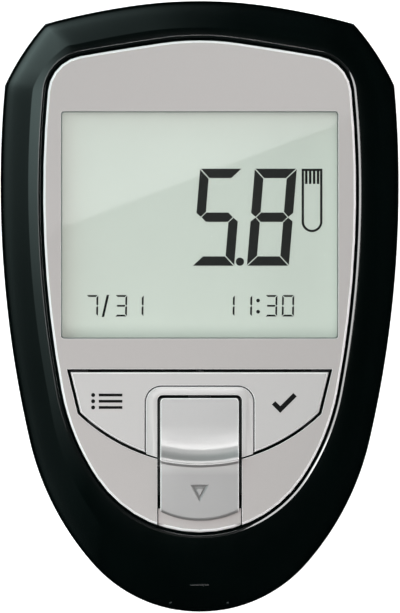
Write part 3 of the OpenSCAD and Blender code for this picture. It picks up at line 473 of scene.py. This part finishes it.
def paint_chamfer_highlights(name):
    """Gives the chamfers that a node has of its own the material of its broken edges, a painted
    highlight where that is pale.
    """
    low, high = CHAMFER_RISE
    for face in nodes[name].data.polygons:
        if low < face.normal.z < high:
            face.material_index = 1


for name, material in DRESS.items():
    dress(name, material, *EDGES.get(name, PLAIN_EDGE))
for name in CHAMFERED:
    paint_chamfer_highlights(name)


# Front case: the shell, the mouth of the strip's port and the marks above it.

# Places along the shoulder below the face plate are parts of its width.
DASH_PART = 0.37
DASH_HALF = (1.6, 0.17)
DASH_RISE = 0.16
PIP_PART = 0.12
PIP_X = 4.6
PIP_R = 0.4
PIP_RISE = 0.3
BUMP_SUNK = 0.1         # of every mark's rim below the shell
BUMP_SIDES = 32
BUMP_LEVELS = 7
SLOPE_STEP = 0.01       # to each side, over which the shoulder's slope is measured
PORT_HALF = 3.9
PORT_HIGH = 1.6
PORT_STEPS = 12         # of each round end
PORT_OUTSIDE = 3        # the cutter starts this far outside the case
PORT_INSIDE = 1         # and ends this far past its wall


def shoulder_z(part):
    """Height of the shoulder at a part of its way from the side to the lip."""
    foot = Z_PART + SHOULDER_FOOT
    lip = Z_FACE - LIP_DROP
    angle = math.acos(1 - part * (1 - math.cos(math.radians(SHOULDER_END))))
    return foot + (lip - foot) * math.sin(angle) / math.sin(math.radians(SHOULDER_END))


def quarter(radius, step):
    """How far a rounded edge of a radius has come sideways and upwards at one of its steps."""
    a = math.radians(90 * step / ROUND_STEPS)
    return radius * (1 - math.sin(a)), radius * (1 - math.cos(a))


def bead_rings():
    """Rings of the rounded edge at the parting line."""
    rings = []
    for k in range(ROUND_STEPS + 1):
        across, up = quarter(BEAD, k)
        rings.append(lifted(inset(case_ring, across), Z_PART + up))
    return rings


def shoulder_rings():
    """Rings of the crowned shoulder, closer together where it turns faster."""
    side = inset(case_ring, DRAFT)
    lip = inset(face_ring, -GROOVE - LIP_WIDTH)
    end = math.radians(SHOULDER_END)
    parts = [(1 - math.cos(end * k / SHOULDER_STEPS)) / (1 - math.cos(end))
             for k in range(1, SHOULDER_STEPS)]
    return [lifted(side, Z_PART + SHOULDER_FOOT)] + [
        lifted(between(side, lip, part), shoulder_z(part)) for part in parts + [SHOULDER_LAST, 1]]


def lip_rings():
    """Rings of the ledge between the shoulder's end and the groove round the face plate."""
    start, end = [math.tan(math.radians(lean)) for lean in LIP_LEAN]
    width = LIP_WIDTH - LIP_EDGE
    z_lip = Z_FACE - LIP_DROP
    rings = []
    for k in range(1, LIP_STEPS + 1):
        part = k / LIP_STEPS
        fall = width * (start * part + (end - start) * part ** 2 / 2)
        rings.append(lifted(inset(face_ring, -GROOVE - LIP_WIDTH + width * part), z_lip - fall))
    for k in range(1, ROUND_STEPS + 1):
        across, down = quarter(LIP_EDGE, k)
        rings.append(lifted(inset(face_ring, -GROOVE - across), z_lip - fall - down))
    return rings


def inside_rings():
    """Rings from the groove over the face plate's seat and down the inner wall."""
    z_seat = Z_FACE - FACE_T
    groove = inset(face_ring, -GROOVE)
    seat = inset(face_ring, SEAT_W)
    inner = inset(case_ring, WALL)
    rebate = inset(case_ring, WALL - TONGUE_T - DRAFT)
    z_rebate = Z_PART + TONGUE_H + TONGUE_ROOM
    return [
        lifted(groove, z_seat),
        lifted(seat, z_seat),
        lifted(seat, z_seat - SEAT_T),
        lifted(between(inner, groove, INSIDE_SHARE), z_seat - SEAT_T - INSIDE_DROP),
        lifted(inner, Z_PART + INSIDE_STRAIGHT),
        lifted(inner, z_rebate),
        lifted(rebate, z_rebate),
        lifted(rebate, Z_PART),
    ]


def shoulder_point(x, part):
    """A point on the shoulder below the face plate and the slope there, at a part of its width."""
    low = case_low.y
    lip = ring_low - GROOVE - LIP_WIDTH
    rise = shoulder_z(part + SLOPE_STEP) - shoulder_z(part - SLOPE_STEP)
    slope = math.atan2(rise, 2 * SLOPE_STEP * (lip - low))
    return Vector((x, low + part * (lip - low), shoulder_z(part))), slope


def bump(marks, x, part, half_x, half_y, rise):
    """A domed mark on the shoulder, straight between round ends where it is wider than high."""
    centre, slope = shoulder_point(x, part)
    tilt = Matrix.Rotation(slope, 3, "X")
    straight = half_x - half_y
    rows = []
    for level in range(BUMP_LEVELS):
        a = math.pi / 2 * level / BUMP_LEVELS
        z = math.sin(a) * (rise + BUMP_SUNK) - BUMP_SUNK
        reach = half_y * math.cos(a)
        ring = []
        for k in range(BUMP_SIDES):
            turn = 2 * math.pi * k / BUMP_SIDES
            end = math.copysign(straight, math.cos(turn))
            point = Vector((math.cos(turn) * reach + end, math.sin(turn) * reach, z))
            ring.append(centre + tilt @ point)
        rows.append(ring)
    loft(marks, rows)


def dash_and_pips():
    """The raised dash that shows where a strip goes, and the two pips beside the strip's port."""
    marks = bmesh.new()
    bump(marks, 0, DASH_PART, *DASH_HALF, DASH_RISE)
    for x in (-PIP_X, PIP_X):
        bump(marks, x, PIP_PART, PIP_R, PIP_R, PIP_RISE)
    return marks


def strip_port():
    """Cutter for the mouth of the strip's port, a slot with round ends on the parting line."""
    port = bmesh.new()
    r = PORT_HIGH / 2
    arc = [math.radians(-90 + 180 * k / PORT_STEPS) for k in range(PORT_STEPS + 1)]
    right = [(PORT_HALF - r + r * math.cos(a), Z_PART + r * math.sin(a)) for a in arc]
    ring = right + [(-x, z) for x, z in reversed(right)]
    loft(port, [[(x, case_low.y + y, z) for x, z in ring] for y in (-PORT_OUTSIDE, WALL + PORT_INSIDE)])
    return port


def cut(piece, cutter_mesh):
    """Cuts a bmesh in millimetres out of a piece and leaves no helper behind."""
    cutter = make("cutter", cutter_mesh, BLACK_GLOSS, "housing")
    tool = piece.modifiers.new("cut", "BOOLEAN")
    tool.operation = "DIFFERENCE"
    tool.solver = "EXACT"
    tool.object = cutter
    bpy.context.view_layer.update()
    done = bpy.data.meshes.new_from_object(piece.evaluated_get(bpy.context.evaluated_depsgraph_get()))
    piece.modifiers.remove(tool)
    piece.data = done
    bpy.data.objects.remove(cutter)


def front_case():
    """The shell in place of its CAD node, and the marks on it."""
    shell = bmesh.new()
    loft(shell, bead_rings() + shoulder_rings() + lip_rings() + inside_rings(), looped=True)
    piece = make("front_case_shell", shell, BLACK_GLOSS, "housing")
    cut(piece, strip_port())
    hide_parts("front_case")
    marks = make("front_case_marks", dash_and_pips(), BLACK_GLOSS, "housing")


front_case()


# Return springs, coils of a fixed length between their CAD node's ends; the real ones shorten with the
# slide.
SPRING_WIRE = 0.16      # radius of the wire
SPRING_TURNS = 7
SPRING_STEPS = 24       # of one turn
WIRE_SIDES = 8


def coil(mesh_data, side, centre, reach, length):
    """A coil along Y from its centre, on the right (1) or mirrored on the left (-1)."""
    count = SPRING_TURNS * SPRING_STEPS
    rings = []
    for k in range(count + 1):
        turn = 2 * math.pi * k / SPRING_STEPS
        ring = []
        for i in range(WIRE_SIDES):
            w = 2 * math.pi * i / WIRE_SIDES
            out = reach - SPRING_WIRE + SPRING_WIRE * math.cos(w)
            ring.append((side * (centre.x + out * math.cos(turn)),
                         centre.y + length * k / count + SPRING_WIRE * math.sin(w),
                         centre.z - out * math.sin(turn)))
        rings.append(ring)
    loft(mesh_data, rings)


def return_springs():
    """Both coils, between the ends that their CAD node has."""
    low, high = span("slide_springs")
    reach = (high.z - low.z) / 2
    centre = Vector((high.x - reach, low.y + SPRING_WIRE, (low.z + high.z) / 2))
    length = high.y - low.y - 2 * SPRING_WIRE
    coils = bmesh.new()
    for side in (-1, 1):
        coil(coils, side, centre, reach, length)
    piece = make("return_springs", coils, DARK_STEEL, "housing")
    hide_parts("slide_springs")
    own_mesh(piece)


return_springs()


# Display content, drawn as thin ink shapes just above the glass.
INK_LOW = Z_GLASS + 0.02
INK_HIGH = Z_GLASS + 0.05
SEGMENTS = {"0": "abcdef", "1": "bc", "3": "abcdg", "5": "acdfg", "7": "abc", "8": "abcdefg"}
GAP_ALONG = 0.7         # half of a gap at 45 degrees, measured along an axis
HEEL = 0.45             # rise of a side segment's outer corner over the middle, in strokes
TIP = 0.6               # rise of its point over the middle, in such half gaps

# Figures come with the place of their left side.
READING = dict(y=6.55, width=6.75, height=15.6, stroke=1.5, gap=0.17, slant=0.082)
READING_FIGURES = (("5", -1.2), ("8", 7.6))
READING_POINT = (6.48, 7.2, 0.66)       # centre and radius
CLOCK = dict(y=-1.62, width=1.95, height=3.45, stroke=0.3, gap=0.14, slant=0.02)
DATE_FIGURES = (("7", -18.3), ("3", -13.65), ("1", -11.0))
TIME_FIGURES = (("1", 3.65), ("1", 6.45), ("3", 10.5), ("0", 13.2))
SLASH = ((-15.75, -1.7), (-15.35, -1.7), (-14.55, 1.85), (-14.95, 1.85))
COLON_POINTS = ((9.4, -0.85, 0.3), (9.4, 0.95, 0.3))

# The strip symbol: a strip with square corners and four teeth at the top and a round lower end.
STRIP_LEFT, STRIP_RIGHT = 16.4, 19.75
STRIP_LOW, STRIP_TOP = 11.95, 22.15
STRIP_LINE = 0.38       # width of its line
STRIP_STEPS = 20        # of its round end
TEETH = 4
TOOTH_LEFT = 16.95      # left side of the first tooth
TOOTH_PITCH = 0.63
TOOTH_WIDTH = 0.4
TOOTH_LOW, TOOTH_TOP = 19.7, 21.9


def segment_shapes(width, height, stroke, gap):
    """Outline of each of the seven segments of a digit whose lower left corner is at (0, 0)."""
    mid = height / 2
    half = stroke / 2
    room = gap * GAP_ALONG
    near = stroke + room
    far = width - stroke - room
    top = [(room, height), (width - room, height), (far, height - stroke), (near, height - stroke)]
    left = [(0, height - room), (0, mid + HEEL * stroke), (half, mid + TIP * room),
            (stroke, mid + half + room), (stroke, height - stroke - room)]
    bar = [(half + room, mid), (near, mid + half), (far, mid + half), (width - half - room, mid),
           (far, mid - half), (near, mid - half)]

    def across(points):
        """The same segment on the other side."""
        return [(width - x, y) for x, y in points]

    def down(points):
        """The same segment in the other half."""
        return [(x, height - y) for x, y in points]

    return {"a": top, "f": left, "g": bar, "b": across(left), "d": down(top),
            "e": down(left), "c": down(across(left))}


def digit(ink, figure, x, y, width, height, stroke, gap, slant):
    """A seven-segment figure with its lower left corner at a place."""
    shapes = segment_shapes(width, height, stroke, gap)
    for key in SEGMENTS[figure]:
        prism(ink, [(x + px + slant * py, y + py) for px, py in shapes[key]], INK_LOW, INK_HIGH)


def reading():
    """The two large figures and the point between them."""
    ink = bmesh.new()
    for figure, x in READING_FIGURES:
        digit(ink, figure, x, **READING)
    disc(ink, *READING_POINT, INK_LOW, INK_HIGH)
    return ink


def clock():
    """The date and the time along the display's lower edge."""
    ink = bmesh.new()
    for figure, x in DATE_FIGURES + TIME_FIGURES:
        digit(ink, figure, x, **CLOCK)
    prism(ink, SLASH, INK_LOW, INK_HIGH)
    for point in COLON_POINTS:
        disc(ink, *point, INK_LOW, INK_HIGH)
    return ink


def strip_shape(margin):
    """Outline of the strip symbol, drawn in by a margin."""
    left = STRIP_LEFT + margin
    right = STRIP_RIGHT - margin
    top = STRIP_TOP - margin
    r = (right - left) / 2
    centre = ((left + right) / 2, STRIP_LOW + margin + r)
    turns = [math.pi + math.pi * k / STRIP_STEPS for k in range(STRIP_STEPS + 1)]
    low_end = [(centre[0] + r * math.cos(t), centre[1] + r * math.sin(t)) for t in turns]
    return [(right, top), (left, top)] + low_end


def strip_symbol():
    """The strip's outline as a line of ink, with its teeth."""
    ink = bmesh.new()
    outer = strip_shape(0)
    inner = strip_shape(STRIP_LINE)
    levels = ((outer, INK_LOW), (outer, INK_HIGH), (inner, INK_HIGH), (inner, INK_LOW))
    loft(ink, [[(x, y, z) for x, y in ring] for ring, z in levels], looped=True)
    for k in range(TEETH):
        x = TOOTH_LEFT + TOOTH_PITCH * k
        box_prism(ink, x, x + TOOTH_WIDTH, TOOTH_LOW, TOOTH_TOP, INK_LOW, INK_HIGH)
    return ink


for name, drawn in (("display_reading", reading()), ("display_clock", clock()),
                    ("display_strip_mark", strip_symbol())):
    make(name, drawn, INK, "housing", smooth=False)


# The arrow engraved in the slide: a triangular groove round a low triangle, over its node's recess.
ARROW_FROM_END = 4.5
ARROW_UP = 0.42         # its triangles share a centre this far above the middle of the arrow
ARROW_CORNERS = ((-0.5, 0.297), (0.5, 0.297), (0, -0.623))      # of a triangle that is 1 wide
# Width of each triangle and its height over the slide, from the piece's underside to its middle.
ARROW_TRIANGLES = ((3.0, -0.29), (3.0, 0.006), (1.9, -0.24), (0.8, 0.006))


def slide_arrow():
    """The groove's piece, closed below."""
    groove = bmesh.new()
    middle = cap_low.y + ARROW_FROM_END + ARROW_UP
    top = Z_FACE + CAP_RISE
    loft(groove, [[(x * width, middle + y * width, top + height) for x, y in ARROW_CORNERS]
                  for width, height in ARROW_TRIANGLES])
    return groove


make("slide_arrow", slide_arrow(), SLIDE_SILVER, "slide", smooth=False)


# Symbols printed on the key plate.
PRINT_TOP = Z_FACE + 0.02
LIST_ROWS = (-16.45, -15.45, -14.45)        # lower side of each line
LINE_LEFT, LINE_RIGHT = -16.2, -12.4
LINE_HIGH = 0.45
DOT_X = -17.1
DOT_R = 0.32
TICK = ((11.6, -15.75), (12.95, -17.1), (15.6, -14.45), (15.05, -13.9), (12.95, -16.0),
        (12.15, -15.2))


def list_symbol():
    """Three lines with a dot before each."""
    ink = bmesh.new()
    for y in LIST_ROWS:
        box_prism(ink, LINE_LEFT, LINE_RIGHT, y, y + LINE_HIGH, Z_FACE, PRINT_TOP)
        disc(ink, DOT_X, y + LINE_HIGH / 2, DOT_R, Z_FACE, PRINT_TOP)
    return ink


def tick_symbol():
    """A tick mark."""
    ink = bmesh.new()
    prism(ink, TICK, Z_FACE, PRINT_TOP)
    return ink


for name, drawn in (("list_symbol", list_symbol()), ("tick_symbol", tick_symbol())):
    make(name, drawn, PRINT, "keys", smooth=False)


# Studio: floor, surroundings, lights and camera. The floor and the lights are measured in metres.

FLOOR_HALF = 4.0
FLOOR_GREY = (0.86, 0.86, 0.86, 1)
PURE_WHITE = (1, 1, 1, 1)
SURROUNDINGS = (0.75, 1.0, 0.97, 1)
WARM = (1.0, 0.985, 0.985)      # evens out the cool surroundings
METER_TOP = (0, 0, 0.02)

# Brightness of the surroundings by bearing: 0 is the meter's left, 90 its top edge. The band lies
# higher up and the glow round the rim lower down.
BAND = [(-34, 0.0), (-22, 0.16), (-12, 0.33), (-6, 0.6), (-2, 1.08), (2, 1.7), (6, 2.3), (30, 1.75),
        (50, 0.8), (72, 0.06), (84, 0.0)]
RIM_GLOW = [(-45, 0.0), (-25, 0.1), (-10, 0.12), (-4, 0.2), (0, 0.3), (6, 0.4), (30, 1.4), (55, 1.5),
            (72, 0.8), (80, 0.35), (88, 0.12), (95, 0.03), (105, 0.0)]
# Share of each by the angle from overhead.
BAND_HEIGHT = [(18, 0), (24, 1), (45.5, 1), (47, 0)]
GLOW_HEIGHT = [(45.5, 0), (47, 1), (111.6, 1), (144, 0)]


def stage_floor():
    """A pale floor that the gloss doesn't show."""
    material = bpy.data.materials.new("pale_floor")
    material.use_nodes = True
    shader = material.node_tree.nodes["Principled BSDF"]
    for socket, value in (("Base Color", FLOOR_GREY), ("Roughness", 0.9),
                          ("Emission Color", PURE_WHITE), ("Emission Strength", 1.0)):
        shader.inputs[socket].default_value = value
    half = FLOOR_HALF
    mesh = bpy.data.meshes.new("studio_floor")
    mesh.from_pydata([(-half, -half, 0), (half, -half, 0), (half, half, 0), (-half, half, 0)], [],
                     [(0, 1, 2, 3)])
    mesh.materials.append(material)
    floor = bpy.data.objects.new("studio_floor", mesh)
    bpy.context.scene.collection.objects.link(floor)
    floor.visible_glossy = False


def ramp(tree, value, stops):
    """A grey ramp through (place, level) stops, with places from 0 to 1."""
    node = tree.nodes.new("ShaderNodeValToRGB")
    elements = node.color_ramp.elements
    while len(elements) < len(stops):
        elements.new(0.5)       # its place is set below
    for element, (place, level) in zip(elements, stops):
        element.position = place
        element.color = (level, level, level, 1)
    link(tree, value, node.inputs["Fac"])
    return node.outputs["Color"]


def math_node(tree, operation, first, second=0.0):
    """A sum or other operation on two numbers or outputs."""
    node = tree.nodes.new("ShaderNodeMath")
    node.operation = operation
    for socket, value in zip(node.inputs, (first, second)):
        if isinstance(value, (int, float)):
            socket.default_value = value
        else:
            link(tree, value, socket)
    return node.outputs[0]


def surroundings_light(tree):
    """Brightness in a direction: the band and the rim's glow, each by its bearing and height."""
    place = tree.nodes.new("ShaderNodeSeparateXYZ")
    link(tree, tree.nodes.new("ShaderNodeTexCoord").outputs["Generated"], place.inputs[0])
    x, y, z = place.outputs
    bearing = math_node(tree, "ARCTAN2", y, math_node(tree, "MULTIPLY", x, -1))
    turn = math_node(tree, "ADD", math_node(tree, "DIVIDE", bearing, 2 * math.pi), 0.5)
    polar = math_node(tree, "DIVIDE", math_node(tree, "ARCCOSINE", z), math.pi)

    def part(by_bearing, by_height):
        """One of the two lights, as the product of its ramps."""
        around = ramp(tree, turn, [(0.5 + angle / 360, level) for angle, level in by_bearing])
        upright = ramp(tree, polar, [(angle / 180, level) for angle, level in by_height])
        return math_node(tree, "MULTIPLY", around, upright)

    return math_node(tree, "ADD", part(BAND, BAND_HEIGHT), part(RIM_GLOW, GLOW_HEIGHT))


def world():
    """Soft surroundings with a brighter side at the upper left, shown white past the floor."""
    made = bpy.data.worlds.new("studio")
    made.use_nodes = True
    bpy.context.scene.world = made
    tree = made.node_tree
    lit = tree.nodes["Background"]
    lit.inputs["Color"].default_value = SURROUNDINGS
    link(tree, surroundings_light(tree), lit.inputs["Strength"])
    shown = tree.nodes.new("ShaderNodeBackground")
    shown.inputs["Color"].default_value = PURE_WHITE
    mix = tree.nodes.new("ShaderNodeMixShader")
    path = tree.nodes.new("ShaderNodeLightPath")
    link(tree, path.outputs["Is Camera Ray"], mix.inputs["Fac"])
    link(tree, lit.outputs["Background"], mix.inputs[1])
    link(tree, shown.outputs["Background"], mix.inputs[2])
    link(tree, mix.outputs["Shader"], tree.nodes["World Output"].inputs["Surface"])


def softbox(name, azimuth, polar, distance, width, height, radiance, tint=(1, 1, 1), glossy=True,
            diffuse=True, aim=METER_TOP):
    """An area light that faces the meter. Azimuth 180 is the meter's left, polar 0 is overhead.

    Its height runs away from the upright axis and its width round that axis.
    """
    a = math.radians(azimuth)
    p = math.radians(polar)
    toward = Vector((math.sin(p) * math.cos(a), math.sin(p) * math.sin(a), math.cos(p)))
    across = Vector((-math.sin(a), math.cos(a), 0))
    light = bpy.data.lights.new(name, "AREA")
    light.shape = "RECTANGLE"
    light.size = width
    light.size_y = height
    light.energy = radiance * math.pi * width * height
    light.color = tint
    lamp = bpy.data.objects.new(name, light)
    bpy.context.scene.collection.objects.link(lamp)
    lamp.location = Vector(aim) + toward * distance
    lamp.rotation_mode = "QUATERNION"
    turn = Matrix((across, toward.cross(across), toward)).transposed()
    lamp.rotation_quaternion = turn.to_quaternion()
    lamp.visible_camera = False
    lamp.visible_glossy = glossy
    lamp.visible_diffuse = diffuse


def fill_lights():
    """Light for the colours alone. The two near ones brighten the lower left and the upper right."""
    softbox("overhead", azimuth=60, polar=3, distance=2.0, width=0.5, height=0.5, radiance=17.4,
            tint=WARM, glossy=False)
    softbox("near_low", azimuth=180, polar=4, distance=0.1, width=0.06, height=0.06, radiance=4.2,
            tint=WARM, glossy=False, aim=(-0.024, -0.046, 0.02))
    softbox("near_top", azimuth=45, polar=4, distance=0.1, width=0.06, height=0.06, radiance=1.8,
            tint=WARM, glossy=False, aim=(0.03, 0.044, 0.02))
    softbox("right_fill", azimuth=0, polar=80, distance=1.2, width=0.5, height=0.3, radiance=9,
            tint=WARM, glossy=False)


def gloss_lights():
    """Cards that only the gloss shows: on the lip, the thumb ridge and across the display."""
    for azimuth, polar, height, radiance in ((140, 11, 0.27, 15), (175, 11, 0.27, 12),
                                             (0, 21, 0.12, 20)):
        softbox(f"key_box_{azimuth}", azimuth, polar, distance=1.4, width=0.18, height=height,
                radiance=radiance, diffuse=False)
    softbox("thumb_box", azimuth=90, polar=18, distance=1.4, width=0.26, height=0.1, radiance=37,
            tint=WARM, diffuse=False)
    softbox("ridge_box", azimuth=90, polar=45, distance=0.145, width=0.06, height=0.022,
            radiance=4.4, tint=WARM, diffuse=False, aim=(0, -0.025, 0.022))
    softbox("gloss_card", azimuth=110.7, polar=2.98, distance=1.0, width=0.16, height=0.046,
            radiance=2.1, diffuse=False, aim=(0, 0, 0.022))


def camera():
    """Looks straight down from far off, so that the image is nearly without perspective."""
    lens = 800.0
    sensor = 36.0
    image_height = 98.85
    middle = Vector((0.06, -0.008, 13.0))       # of the picture, at the height where that size holds
    data = bpy.data.cameras.new("camera")
    data.lens = lens
    data.sensor_width = sensor
    data.clip_start = 0.1
    data.clip_end = 100
    eye = bpy.data.objects.new("camera", data)
    bpy.context.scene.collection.objects.link(eye)
    eye.location = (middle + Vector((0, 0, lens / sensor * image_height))) * MM
    bpy.context.scene.camera = eye


stage_floor()
world()
fill_lights()
gloss_lights()
camera()
bpy.context.scene.view_settings.view_transform = "Standard"
